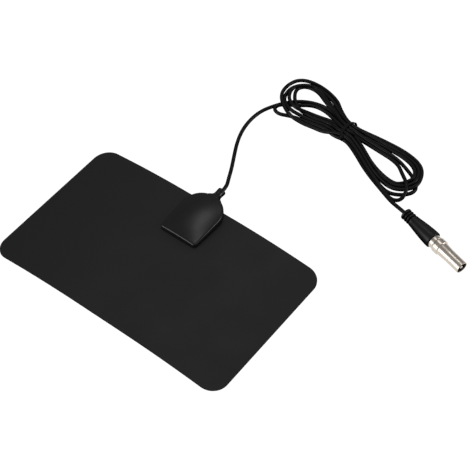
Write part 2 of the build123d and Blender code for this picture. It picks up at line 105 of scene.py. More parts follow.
class PanelSizes(bpy.types.PropertyGroup):
    """Sizes of the arched film panel."""

    width: length("Width", "Panel from left to right", 210.0)
    depth: length("Depth", "Panel from near to far edge", 126.0)
    corner: length("Corner", "Radius of the panel's corners", 13.0)
    far_edge: length("Far edge", "Far edge of the panel from the frame's origin", 55.65)
    sheet: length("Sheet", "Thickness of one of the two films", 0.3)
    rest: length("Rest height", "Underside of the panel over the table, in the middle", 5.6)
    flat: length("Flat half", "Half width of the flat strip in the middle", 20.0)
    arch: length("Arch radius", "Radius of the panel's fall to both sides", 647.9)


class HousingSizes(bpy.types.PropertyGroup):
    """Sizes of the feed housing's cover and of the cable bush."""

    width: length("Width", "Housing across", 33.0)
    spread: number("Spread", "Share by which the middle is wider than the near end", 0.048)
    near: length("Near end", "Near end of the housing from the frame's origin", 17.15)
    far: length("Far end", "Far end of the half round from the frame's origin", 61.35)
    corner: length("Near corner", "Radius of the two near corners", 2.0)
    seat: length("Seat height", "Top of the film that the cover sits on", 6.2)
    wall: length("Wall", "Wall of the cover", 1.6)
    rim: length("Rim", "Radius of the rim round the top", 1.2)
    gap: length("Shadow gap", "Bevel at the foot of the cover", 0.35)
    cable: length("Cable height", "Height of the cable's axis at its exit", 8.5)
    neck_root: length("Neck root", "Radius of the neck where it leaves the dome", 4.2)
    neck_tip: length("Neck tip", "Radius of the neck at its end", 3.25)
    neck_end: length("Neck end", "End of the neck from the frame's origin", 67.75)
    bush_end: length("Bush end", "End of the bush, where the cable comes out", 70.35)
    bush_head: length("Bush head", "Radius of the head of the bush", 3.35)


class CableSizes(bpy.types.PropertyGroup):
    """Sizes of the coaxial lead and of the tie round its hank."""

    diameter: length("Diameter", "Outside diameter of the jacket", 3.0)
    run: length("Length", "Length of the lead from the bush to its end in the boot", 1850.0)
    tie_width: length("Tie width", "Width of the tie", 2.6)
    tie_thickness: length("Tie thickness", "Thickness of the tie over its wire", 0.9)


class PlugSizes(bpy.types.PropertyGroup):
    """Sizes of the plug along its axis and across it."""

    boot_rear: length("Boot rear", "Radius of the grooved rear of the boot", 4.6)
    boot_body: length("Boot body", "Largest radius of the boot", 6.5)
    boot_length: length("Boot length", "Length of the boot", 31.2)
    groove: length("Groove depth", "Depth of the grooves in the boot", 1.8)
    band: length("Neck band", "Radius of the shell next to the boot", 5.3)
    bead: length("Bead", "Radius of the shell's bead", 6.0)
    barrel: length("Barrel", "Radius of the barrel", 4.76)
    wall: length("Shell wall", "Wall of the drawn shell", 0.55)
    reach: length("Plug length", "Boot's rear to the mouth of the barrel", 61.3)
    pin: length("Pin", "Radius of the centre pin", 1.19)


class Finishes(bpy.types.PropertyGroup):
    """Base colours of the finishes that can be seen."""

    film: colour("Film", "Printed film of the panel", "#131315")
    housing: colour("Housing", "Moulded cover and base", "#151515")
    jacket: colour("Jacket", "Extruded cable jacket", "#060606")
    boot: colour("Boot", "Moulded boot and bush", "#101010")
    nickel: colour("Nickel", "Plated shell and pin", "#cfc6bb")
    tie: colour("Tie", "Coated tie", "#060606")
    floor: colour("Floor", "Studio paper without its own glow", "#060606")


class StageSizes(bpy.types.PropertyGroup):
    """Camera and light of the stage."""

    lens: number("Lens", "Focal length on a 36 mm frame", 104.1, "CAMERA")
    floor_side: length("Floor side", "Side of the square floor", 12000.0)
    key_power: number("Key light", "Power of the soft box", 2.9, "POWER")
    front_power: number("Front light", "Power of the low light in front", 14.0, "POWER")
    edge_power: number("Edge light", "Power of the low light at the side", 9.0, "POWER")
    surround: number("Surround", "Light of the studio walls", 0.29)


GROUPS = {
    "antenna_panel": PanelSizes,
    "antenna_housing": HousingSizes,
    "antenna_cable": CableSizes,
    "antenna_plug": PlugSizes,
    "antenna_finishes": Finishes,
    "antenna_stage": StageSizes,
}


# The cable's route: places in millimetres from the cable's exit, heights from the table

EXIT = (0.0, 70.35)
FLOOR = 1.5  # axis of a strand that lies on the table
LEVEL = 2.9  # rise of a strand that lies on another one
TIE_X = 36.5
TIE_REACH = 5.0  # half the stretch in which the strands lie side by side
TIE_LOW = 102.0  # the nearest slot
TIE_PITCH = 1.53  # from slot to slot
TIE_SLOTS = 11
TIE_LIFT = 0.6  # room for the tie under the strands
TIE_RISE = 2.5  # odd slots over the even ones
TIE_FAN = 0.36  # spread of the slots on the tie's left
TIE_PLAY = 0.35  # room between the strands and the tie's path
TIE_LOWEST = 0.5  # lowest place of the tie's path
TIE_TOP = -0.9  # the tie's top and underside from its middle
TIE_SLANT = 3.8  # its sides from its top
TIE_HALVES = (9.0, 2.7)  # half axes of the oval whose normals the band faces

LEAD = [
    (0.0, 0.0, 8.5),
    (0.0, 5.5, 8.5),
    (-4.0, 13.0, 7.8),
    (-10.5, 25.0, 4.9),
    (-18.5, 38.3, 2.4),
    (-25.3, 50.6, 1.5),
    (-29.7, 62.4, 1.5),
    (-31.5, 73.8, 1.5),
    (-31.2, 83.2, 1.5),
    (-29.6, 90.2, 1.5),
    (-26.8, 96.4, 1.5),
    (-21.6, 105.4, 1.5),
    (-13.4, 114.2, 1.5),
    (-2.6, 120.2, 1.5),
    (10.0, 122.1, 1.5),
    (21.4, 118.8, 1.5),
]
# Limbs of the hank: place of the first strand, step to the next one, and rise of every other strand
RIGHT_LOW = [((52.4, 97.4), (0.66, 1.20), 2.4), ((72.0, 85.4), (0.60, 1.12), 2.4)]
RIGHT_HIGH = [((64.0, 119.4), (0.0, -2.7), 0.8), ((50.0, 118.2), (0.0, -2.15), 1.8)]
LEFT_HIGH = [((20.0, 126.3), (-0.8, -1.75), 0.7)]
LEFT_LOW = [
    ((3.0, 96.8), (-0.1, 3.05), 0.0),
    ((12.2, 98.2), (-0.1, 3.05), 0.2),
    ((22.5, 99.2), (0.0, 3.4), 0.4),
]
# Folds of the five turns: places, and the level over the table on which the strand lies
RIGHT_FOLDS = [
    [
        (95.4, 86.8, 0.1),
        (102.6, 92.4, 0.2),
        (107.0, 100.0, 1),
        (100.0, 110.0, 0.5),
        (84.0, 114.4, 0.2),
    ],
    [
        (95.6, 85.0, 0.2),
        (106.5, 90.2, 0.5),
        (109.8, 99.0, 1),
        (103.0, 112.3, 0.3),
        (85.0, 117.0, 0),
    ],
    [
        (90.6, 78.8, 0),
        (100.0, 77.8, 0),
        (109.3, 83.5, 0),
        (113.6, 91.2, 0),
        (108.6, 99.2, 0),
        (97.9, 104.8, 0),
        (84.6, 109.6, 0.3),
    ],
    [
        (84.6, 83.9, 0.5),
        (98.2, 81.8, 0.3),
        (109.2, 87.4, 0.8),
        (113.0, 97.4, 0.9),
        (105.0, 114.6, 0.1),
        (86.6, 119.8, 0),
    ],
    [
        (89.0, 78.6, 0.9),
        (96.6, 75.6, 0.3),
        (103.8, 73.4, 0),
        (109.6, 76.4, 0.3),
        (109.8, 83.2, 1.2),
        (105.8, 90.0, 1.8),
        (97.4, 97.2, 1),
        (87.0, 105.8, 0.5),
    ],
]
LEFT_FOLDS = [
    [
        (7.6, 127.6, 0),
        (-8.5, 134.4, 0.5),
        (-17.3, 130.5, 1),
        (-25.0, 123.0, 0.8),
        (-21.0, 111.3, 0.9),
        (-9.3, 102.4, 2.1),
    ],
    [
        (9.2, 130.5, 0.5),
        (-9.2, 136.0, 0.1),
        (-17.6, 131.6, 0),
        (-26.6, 125.3, 0),
        (-25.0, 110.3, 0.4),
        (-13.9, 100.4, 1.2),
    ],
    [
        (6.4, 124.9, 0.6),
        (-6.0, 131.6, 0.4),
        (-17.6, 131.3, 0.1),
        (-22.2, 123.7, 0.3),
        (-15.8, 112.5, 0.9),
        (-8.4, 107.2, 0.4),
    ],
    [
        (10.9, 134.1, 0),
        (-9.0, 139.0, 0),
        (-26.0, 136.0, 0),
        (-31.2, 123.5, 0),
        (-26.2, 107.2, 1.2),
        (-9.8, 95.9, 1),
    ],
    [
        (10.0, 118.5, 0),
        (-1.2, 117.6, 0),
        (-11.6, 109.6, 0),
        (-22.2, 102.4, 0.4),
        (-24.1, 96.2, 0.2),
        (-17.8, 93.6, 0),
        (-8.0, 98.0, 0),
    ],
]
# Slots of the turns across the tie, counted from the near side, and their ranks in the limbs
SLOTS_OUT = [6, 4, 2, 3, 1, 0]
SLOTS_BACK = [8, 9, 7, 10, 5]
RANKS_RIGHT_LOW = [5, 4, 2, 3, 1, 0]
RANKS_LEFT_LOW = [4, 2, 3, 0, 1]
RANKS_HIGH = [2, 1, 3, 0, 4]
STRAY_TURN = 4
STRAY_START = (21.2, 115.3, 0)
TAIL = [
    (92.8, 76.4, 1.9),
    (105.0, 69.8, 4.6),
    (113.8, 66.0, 7.7),
    (121.55, 64.15, 8.0),
    (136.05, 60.27, 7.26),
]

# Feed housing: places along it, heights of its dome over the seat in millimetres, and radii

DOME_MIDDLE = (0.0, 40.0 * MM)
DOME_STATIONS = (15.15, 45.35, 63.35)
DOME_SIDE = (2.6, 4.2, 4.4)
DOME_CROWN = (2.8, 7.0, 5.8)
DOME_HALF = 18.5
SPREAD_RUN = 28.0 * MM
LEAST_ROUND = 0.05 * MM
CEILING_INSET = 0.3 * MM
NECK_START = 57.0 * MM
NECK_FLARE = 3.6 * MM
NECK_BEVEL = 0.25 * MM
NECK_BORE = 2.15 * MM
ROOT_RUN = 4.2 * MM
ROOT_WIDER = 0.55
ROOT_LOWER = 0.12
BUSH_START = 58.15 * MM
BUSH_FLANGE_END = 59.65 * MM
BUSH_FLANGE = 2.6 * MM
BUSH_STEM = 2.1 * MM
BUSH_BORE = 1.5 * MM

# Plug: its place and axis, stations from the boot's rear, and radii

PLUG_REAR = np.array([121.55, 134.5, 8.0]) * MM
PLUG_AXIS = np.array([0.964744, -0.258502, -0.049457])
BOOT_BORE = 1.52 * MM
BOOT_REAR_ROUND = 0.8 * MM
BOOT_RIM_ROUND = 0.9 * MM
BOOT_SEAM = 0.12 * MM
SEAM_WIDTH = 0.035
SHELL_START = 22.7 * MM
BAND_END = 34.3 * MM
CREASE = 34.7 * MM
CREASE_DEPTH = 0.3 * MM
BEAD_START = 35.2 * MM
BEAD_END = 39.8 * MM
BEAD_FOOT = 40.2 * MM
BEAD_FALL = 0.7 * MM
SHOULDER_START = 40.0 * MM
SHOULDER_END = 46.8 * MM
PIN_START = 35.6 * MM
PIN_NOSE = 60.1 * MM
NOSE_ROUND = 0.9 * MM
HOLDER_END = 49.6 * MM
HOLDER_BORE = 1.2 * MM
# Black sleeve inside the barrel, up to just behind its mouth: painted shade on the barrel's inside
SHADE_SLEEVE_END = 60.5 * MM
SHADE_SLEEVE_OUTER = 4.1 * MM
SHADE_SLEEVE_INNER = 3.5 * MM

# Boot, in millimetres: start and run of its rise, its grooves, and where its faces are flattened

BOOT_RISE_START = 9.4
BOOT_RISE_RUN = 20.6
GROOVES = (2.7, 5.1, 7.6)
GROOVE_HALF = 0.62
FLATS_START = 11.0
FLATS_RUN = 6.0
FLATS_END = 28.5
FLATS_FADE = 4.0
FLATS_DEPTH = 0.02

# Stage: the camera's place and its turn, tilt and roll in degrees, the floor and the lamps

CAMERA_PLACE = (0.4295, -0.42845, 0.7879)
CAMERA_ANGLES = (40.02, 38.31, -2.64)
FLOOR_DROP = 0.00004
FLOOR_LINES = 9
LAMP_AIM = (0.03, 0.07, 0.0)


def at_tie(slot, way):
    """Two places of a strand in the tie.

    Slots step across it by the pitch, fan out on its left from the middle slot, and odd ones lie
    higher.
    """
    place = TIE_LOW + TIE_PITCH * slot
    fan = TIE_FAN * (slot - TIE_SLOTS // 2)
    height = FLOOR + TIE_LIFT + TIE_RISE * (slot % 2)
    ends = [(TIE_X - TIE_REACH, place + fan, height), (TIE_X + TIE_REACH, place, height)]
    return ends[::way]


def along_limb(stations, rank):
    """Places of a strand along a limb: its rank counts steps across, and odd ranks lie higher."""
    return [
        (x + dx * rank, y + dy * rank, FLOOR + rise * (rank % 2))
        for (x, y), (dx, dy), rise in stations
    ]


def round_fold(places):
    """Places of a strand round a fold, with levels turned to heights."""
    return [(x, y, FLOOR + LEVEL * level) for x, y, level in places]


def cable_route():
    """Control points of the whole lead in metres.

    They follow the S to the hank, five turns through the tie, and the tail to the boot.
    """
    places = list(LEAD)
    for turn, (right, left) in enumerate(zip(RIGHT_FOLDS, LEFT_FOLDS)):
        places += at_tie(SLOTS_OUT[turn], 1)
        places += along_limb(RIGHT_LOW, RANKS_RIGHT_LOW[turn])
        places += round_fold(right)
        places += along_limb(RIGHT_HIGH, RANKS_HIGH[turn])
        places += at_tie(SLOTS_BACK[turn], -1)
        if turn == STRAY_TURN:
            places += round_fold([STRAY_START])
        else:
            places += along_limb(LEFT_HIGH, RANKS_HIGH[turn])
        places += round_fold(left)
        places += along_limb(LEFT_LOW, RANKS_LEFT_LOW[turn])
    places += at_tie(SLOTS_OUT[-1], 1)
    places += along_limb(RIGHT_LOW, RANKS_RIGHT_LOW[-1])
    places += TAIL
    return (np.array(places) + (*EXIT, 0.0)) * MM


# Surfaces


def rounded_outline(left, right, near, far, near_round, far_round, per_round, per_side):
    """Closed outline of a rounded rectangle: quarter circles joined by straight sides.

    A point of a quarter is centre + radius * (cos a, sin a), and a side divides the line between
    two of them into equal parts.
    """
    rounds = np.array([near_round, far_round, far_round, near_round])
    centres = np.array(
        [
            (right - near_round, near + near_round),
            (right - far_round, far - far_round),
            (left + far_round, far - far_round),
            (left + near_round, near + near_round),
        ]
    )
    turns = np.linspace(0.0, 0.5 * np.pi, per_round) + np.arange(-1, 3)[:, None] * 0.5 * np.pi
    spokes = np.stack([np.cos(turns), np.sin(turns)], axis=-1)
    quarters = centres[:, None] + rounds[:, None, None] * spokes
    share = np.linspace(0.0, 1.0, per_side + 2)[1:-1][None, :, None]
    sides = quarters[:, -1:] * (1.0 - share) + np.roll(quarters, -1, axis=0)[:, :1] * share
    return np.concatenate([quarters, sides], axis=1).reshape(-1, 2)


def drawn_in(outline, centre, shares):
    """Rings of an outline drawn in to its centre: centre + share * (outline - centre)."""
    return centre + np.asarray(shares)[:, None, None] * (outline - centre)[None]


def rounded_profile(corners, rounds, steps=6):
    """Closed profile through corners, each cut back by its round and bridged by a quadratic arc.

    The arc of a corner is (1-t)^2 * start + 2t(1-t) * corner + t^2 * end, with start and end on its
    two sides.
    """
    corners = np.asarray(corners, dtype=float)
    back = np.roll(corners, 1, axis=0) - corners
    on = np.roll(corners, -1, axis=0) - corners
    reach = np.asarray(rounds, dtype=float)[:, None]
    start = corners + back / np.linalg.norm(back, axis=1, keepdims=True) * reach
    end = corners + on / np.linalg.norm(on, axis=1, keepdims=True) * reach
    t = np.linspace(0.0, 1.0, steps)[None, :, None]
    arcs = (1 - t) ** 2 * start[:, None] + 2 * t * (1 - t) * corners[:, None] + t**2 * end[:, None]
    return arcs.reshape(-1, 2)


def divided(profile, step):
    """The closed profile with each side divided into equal parts no longer than step."""
    nxt = np.roll(profile, -1, axis=0)
    parts = np.maximum(1, np.ceil(np.linalg.norm(nxt - profile, axis=1) / step).astype(int))
    side = np.repeat(np.arange(len(profile)), parts)
    first = np.repeat(np.cumsum(parts) - parts, parts)
    share = ((np.arange(len(side)) - first) / parts[side])[:, None]
    return profile[side] * (1.0 - share) + nxt[side] * share


def turned(profile, origin, axis, around, swell=None):
    """Surface of revolution: origin + station * axis + radius * (cos a * side + sin a * up).

    swell, where given, is a factor on the radius for each station and angle.
    """
    axis = np.asarray(axis, dtype=float) / np.linalg.norm(axis)
    side = np.cross(axis, (0.0, 0.0, 1.0))
    side /= np.linalg.norm(side)
    up = np.cross(side, axis)
    angle = np.linspace(0.0, 2.0 * np.pi, around, endpoint=False)
    spoke = np.cos(angle)[:, None] * side + np.sin(angle)[:, None] * up
    radius = np.repeat(profile[:, 1:2], around, axis=1)
    if swell is not None:
        radius = radius * swell(profile[:, 0][:, None], angle[None, :])
    along = profile[:, 0][:, None, None] * axis
    return np.asarray(origin) + along + radius[:, :, None] * spoke[None]


def carried(path, section, up):
    """Closed sections, one for each place of a path: place + a * side + b * out.

    side lies across the path and the up vector of each place, out is square to the path and to
    side, and a and b are the section's two coordinates.
    """
    along = np.gradient(path, axis=0)
    along /= np.linalg.norm(along, axis=1, keepdims=True)
    side = np.cross(along, up)
    side /= np.linalg.norm(side, axis=1, keepdims=True)
    out = np.cross(side, along)
    return path[:, None] + section[..., :1] * side[:, None] + section[..., 1:] * out[:, None]


def make_piece(name, grids, crease=40.0):
    """Mesh object from grids of points: (points, rows close, ends are poles), columns always close.

    Quads join neighbouring rows and columns, and an end that is a pole is closed by a fan to the
    middle of its row.
    """
    points, quads, fans, base = [], [], [], 0
    for grid, rows_close, poles in grids:
        rows, columns = grid.shape[:2]
        index = base + np.arange(rows * columns).reshape(rows, columns)
        points.append(grid.reshape(-1, 3))
        base += rows * columns
        if rows_close:
            index = np.concatenate([index, index[:1]])
        ring = np.concatenate([index, index[:, :1]], axis=1)
        corners = [ring[:-1, :-1], ring[1:, :-1], ring[1:, 1:], ring[:-1, 1:]]
        quads.append(np.stack(corners, axis=-1).reshape(-1, 4))
        if poles:
            for end in (0, -1):
                points.append(grid[end].mean(axis=0)[None])
                fan = [np.full(columns, base), ring[end, :-1], ring[end, 1:]]
                fans.append(np.stack(fan, axis=-1))
                base += 1
    faces = np.concatenate(quads).tolist() + (np.concatenate(fans).tolist() if fans else [])
    mesh = bpy.data.meshes.new(name)
    mesh.from_pydata(np.concatenate(points).tolist(), [], faces)
    shell = bmesh.new()
    shell.from_mesh(mesh)
    bmesh.ops.recalc_face_normals(shell, faces=shell.faces)
    shell.to_mesh(mesh)
    shell.free()
    mesh.shade_smooth()
    mesh.set_sharp_from_angle(angle=math.radians(crease))
    piece = bpy.data.objects.new(name, mesh)
    bpy.context.scene.collection.objects.link(piece)
    return piece


def stand_for(piece, material, slot, *nodes):
    """Dress a piece, let it ride on the body and stand for its nodes."""
    piece.data.materials.append(material)
    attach(piece, BODY)
    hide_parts(*nodes)


def dress(material, *nodes):
    """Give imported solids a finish, and leave their meshes as they are."""
    for node in nodes:
        target = bpy.data.objects[node]
        target.data.materials.clear()
        target.data.materials.append(material)


# Finishes


def add_node(tree, kind, inputs=None, **settings):
    """Add a node, set its settings, and set or link each of its inputs."""
    node = tree.nodes.new(kind)
    for key, value in settings.items():
        setattr(node, key, value)
    for key, value in (inputs or {}).items():
        socket = node.inputs[key]
        if isinstance(value, bpy.types.NodeSocket):
            tree.links.new(value, socket)
        else:
            socket.default_value = value
    return node


def per_mm(mm):
    """Scale of a pattern on Object coordinates whose features are this many millimetres across."""
    return 1.0 / (mm * MM)


def grained(name, tone, shade, patch, rough, grain, depth, shader=None, stretch=None):
    """A surface of two near tones in patches, which also vary its gloss, with a fine relief.

    tone is the linear base colour, shade the factor of its darker patches, patch their size in
    millimetres, rough the least and most roughness, grain the size of the relief in millimetres and
    depth its height. shader holds constants for the shader's own sockets, and stretch turns the
    grain to lines.
    """
    material = bpy.data.materials.new(name)
    material.use_nodes = True
    tree = material.node_tree
    tree.nodes.clear()
    coords = add_node(tree, "ShaderNodeTexCoord").outputs["Object"]
    grain_coords = coords
    if stretch:
        mapping = add_node(tree, "ShaderNodeMapping", {"Vector": coords, "Scale": stretch})
        grain_coords = mapping.outputs[0]

    # Patches: soft clouds that mix the two tones
    clouds = {"Vector": coords, "Scale": per_mm(patch), "Detail": 3.0}
    patches = add_node(tree, "ShaderNodeTexNoise", clouds).outputs[0]
    dark = tuple(part * shade for part in tone[:3])
    tones = {0: patches, 6: (*dark, 1.0), 7: (*tone[:3], 1.0)}
    mixed = add_node(tree, "ShaderNodeMix", tones, data_type="RGBA")

    # Gloss: the same patches run from the least to the most roughness
    span = {"From Min": 0.3, "From Max": 0.7, "To Min": rough[0], "To Max": rough[1]}
    gloss = add_node(tree, "ShaderNodeMapRange", {"Value": patches, **span})

    # Relief: fine noise as a bump
    tooth = {"Vector": grain_coords, "Scale": per_mm(grain), "Detail": 2.0}
    fine = add_node(tree, "ShaderNodeTexNoise", tooth).outputs[0]
    bump = {"Height": fine, "Strength": 1.0, "Distance": depth * MM}
    relief = add_node(tree, "ShaderNodeBump", bump)

    sockets = {
        "Base Color": mixed.outputs[2],
        "Roughness": gloss.outputs[0],
        "Normal": relief.outputs[0],
        **(shader or {}),
    }
    surface = add_node(tree, "ShaderNodeBsdfPrincipled", sockets)
    add_node(tree, "ShaderNodeOutputMaterial", {"Surface": surface.outputs[0]})
    return material


def sheen(level):
    """The shader's constant for how much light a plastic surface mirrors."""
    return {"Specular IOR Level": level}


def printed_film(tone):
    """Polyester film printed matt black: a fine even tooth and a trace of mottle from the print."""
    rough = (0.50, 0.56)
    return grained("polyester_film_printed_matt", tone, 0.88, 26.0, rough, 0.35, 0.006, sheen(0.34))


def spark_eroded_abs(tone):
    """ABS moulded in a spark-eroded tool: satin black with a fine even stipple."""
    rough = (0.28, 0.34)
    return grained("abs_moulded_spark_eroded", tone, 0.9, 9.0, rough, 0.28, 0.006, sheen(0.3))


def extruded_pvc(tone):
    """PVC extruded over the braid: satin black and faintly uneven."""
    rough = (0.34, 0.44)
    return grained("pvc_extruded_satin", tone, 0.86, 3.0, rough, 0.6, 0.012, sheen(0.22))


def moulded_pvc(tone):
    """Soft PVC moulded over the plug: darker than the housing, with a broader sheen."""
    rough = (0.38, 0.46)
    return grained("pvc_moulded_soft", tone, 0.88, 5.0, rough, 0.3, 0.006, sheen(0.3))


def coated_wire(tone):
    """Wire coated with PVC: dull black, worn to a patchy gloss."""
    return grained("pvc_coated_wire", tone, 0.85, 2.0, (0.42, 0.5), 0.3, 0.006, sheen(0.2))


def plated_nickel(tone):
    """Brass drawn to shape and nickel plated: warm bright metal, faintly clouded."""
    rough, metal = (0.29, 0.37), {"Metallic": 1.0}
    return grained("brass_drawn_nickel_plated", tone, 0.93, 2.5, rough, 0.25, 0.0012, metal)


def lit_paper(tone):
    """Paper lit from below: matt, without a mirror image, and bright enough to be seen as white."""
    glow = {"Emission Color": (1.0, 1.0, 1.0, 1.0), "Emission Strength": 1.05, **sheen(0.0)}
    return grained("paper_sweep_lit", tone, 0.9, 40.0, (0.85, 0.9), 1.0, 0.002, glow)


# Pieces


class ANTENNA_OT_panel(bpy.types.Operator):
    """Film panel: two arched sheets with rounded corners"""

    bl_idname = "antenna.panel"
    bl_label = "Film panel"

    def execute(self, context):
        sizes = context.scene.antenna_panel
        middle = np.array([0.0, sizes.far_edge - 0.5 * sizes.depth])
        half = 0.5 * sizes.width
        near, far, corner = sizes.far_edge - sizes.depth, sizes.far_edge, sizes.corner
        outline = rounded_outline(-half, half, near, far, corner, corner, 14, 36)
        plan = drawn_in(outline, middle, np.linspace(0.02, 1.0, 40))

        def fallen(rings, lift):
            """The sheet at its height: rest + lift - (R - sqrt(R^2 - d^2)).

            R is the arch's radius and d the distance past the flat strip.
            """
            past = np.maximum(np.abs(rings[..., 0]) - sizes.flat, 0.0)
            fall = sizes.arch - np.sqrt(sizes.arch**2 - past**2)
            return np.concatenate([rings, (sizes.rest + lift - fall)[..., None]], axis=-1)

        film = printed_film(context.scene.antenna_finishes.film)
        under = fallen(plan, sizes.sheet)
        top = fallen(plan[::-1], 2.0 * sizes.sheet)
        front = make_piece("panel_front", [(np.concatenate([under, top]), False, True)])
        stand_for(front, film, "film", "front_film")
        dress(film, "rear_film")
        return {"FINISHED"}


class ANTENNA_OT_housing(bpy.types.Operator):
    """Feed housing: domed cover with its flared neck, and the bush that the cable comes out of"""

    bl_idname = "antenna.housing"
    bl_label = "Feed housing"

    def execute(self, context):
        sizes = context.scene.antenna_housing
        half = 0.5 * sizes.width
        middle = np.array(DOME_MIDDLE)

        def plan(inset):
            """The plan drawn in by an inset: a half round far end and two small near corners.

            Its sides spread from the near end to x * (1 + spread * (1 - (1 - s)^2)), with s the
            share of the spread's run.
            """
            ring = rounded_outline(
                -half + inset,
                half - inset,
                sizes.near + inset,
                sizes.far - inset,
                max(sizes.corner - inset, LEAST_ROUND),
                half - inset,
                20,
                22,
            )
            share = np.clip((ring[:, 1] - sizes.near) / SPREAD_RUN, 0.0, 1.0)
            ring[:, 0] *= 1.0 + sizes.spread * (1.0 - (1.0 - share) ** 2)
            return ring

        def crowned(rings, drop):
            """The dome at its height less a drop: high - (high - low) * (x / half)^2 across it.

            Its side height, low, and its crown height, high, follow quadratics along the housing.
            """
            side = np.polyfit(DOME_STATIONS, DOME_SIDE, 2)
            crown = np.polyfit(DOME_STATIONS, DOME_CROWN, 2)
            x, y = rings[..., 0] / MM, rings[..., 1] / MM
            low, high = np.polyval(side, y), np.polyval(crown, y)
            height = sizes.seat + (high - (high - low) * (x / DOME_HALF) ** 2) * MM - drop
            return np.concatenate([rings, height[..., None]], axis=-1)

        def level(inset, height):
            """The plan at one height."""
            ring = plan(inset)[None]
            return np.concatenate([ring, np.full((*ring.shape[:2], 1), height)], axis=-1)

        # The dome: crowned top, rim through a quarter circle, shadow gap, inner wall and ceiling
        turns = np.linspace(0.5 * np.pi, 0.0, 9)[1:]
        top = crowned(drawn_in(plan(sizes.rim), middle, np.linspace(0.03, 1.0, 30)), 0.0)
        rim = np.concatenate(
            [
                crowned(plan(sizes.rim * (1 - np.cos(a)))[None], sizes.rim * (1 - np.sin(a)))
                for a in turns
            ]
        )
        shadow = [level(0.0, sizes.seat + sizes.gap), level(sizes.gap, sizes.seat)]
        inner_wall = level(sizes.wall, sizes.seat)
        inner_plan = plan(sizes.wall + CEILING_INSET)
        ceiling = crowned(drawn_in(inner_plan, middle, np.linspace(1.0, 0.03, 14)), sizes.wall)
        dome = np.concatenate([top, rim, *shadow, inner_wall, ceiling])

        # The neck: tip + (root - tip) * f^2, with f falling from 1 to 0 past the dome
        run = np.linspace(0.0, 1.0, 24)
        station = NECK_START * (1 - run) + sizes.neck_end * run
        flare = np.clip((sizes.far + NECK_FLARE - station) / NECK_FLARE, 0.0, 1.0)
        radius = sizes.neck_tip + (sizes.neck_root - sizes.neck_tip) * flare**2
        outer = np.stack([station, radius], axis=1)
        outer[-1, 1] -= NECK_BEVEL
        outer = np.insert(outer, -1, (sizes.neck_end - NECK_BEVEL, sizes.neck_tip), axis=0)
        bore = np.stack([station[::-1], np.full_like(station, NECK_BORE)], axis=1)
        axis_point = (0.0, 0.0, sizes.cable)

        def spread(stations, angles):
            """Factor on the neck's radius: 1 + r^2 * (wider * cos^2 a - lower * sin^2 a).

            r falls from 1 at the dome to 0 at the end of the root.
            """
            root = np.clip((sizes.far + ROOT_RUN - stations) / ROOT_RUN, 0.0, 1.0)
            wider = ROOT_WIDER * np.cos(angles) ** 2 - ROOT_LOWER * np.sin(angles) ** 2
            return 1.0 + root**2 * wider

        along = (0.0, 1.0, 0.0)
        neck = turned(np.concatenate([outer, bore]), axis_point, along, 72, spread)

        shell = spark_eroded_abs(context.scene.antenna_finishes.housing)
        cover = make_piece("housing_top", [(dome, False, True), (neck, True, False)])
        stand_for(cover, shell, "housing", "housing_cover")
        dress(shell, "housing_base")

        # The bush: a flange inside the dome, a stem in the neck and a head over its end
        tip, head = sizes.bush_end, sizes.bush_head
        corners = [
            (BUSH_START, BUSH_BORE),
            (BUSH_START, BUSH_FLANGE),
            (BUSH_FLANGE_END, BUSH_FLANGE),
            (BUSH_FLANGE_END, BUSH_STEM),
            (sizes.neck_end, BUSH_STEM),
            (sizes.neck_end, head),
            (tip, head),
            (tip, BUSH_BORE),
        ]
        rounds = np.array([0.1, 0.2, 0.2, 0.1, 0.1, 0.25, 0.4, 0.3]) * MM
        profile = divided(rounded_profile(corners, rounds), 0.8 * MM)
        sleeve = turned(profile, axis_point, along, 72)
        bush = make_piece("bush_sleeve", [(sleeve, True, False)])
        soft = moulded_pvc(context.scene.antenna_finishes.boot)
        stand_for(bush, soft, "bush", "cable_bush")
        return {"FINISHED"}


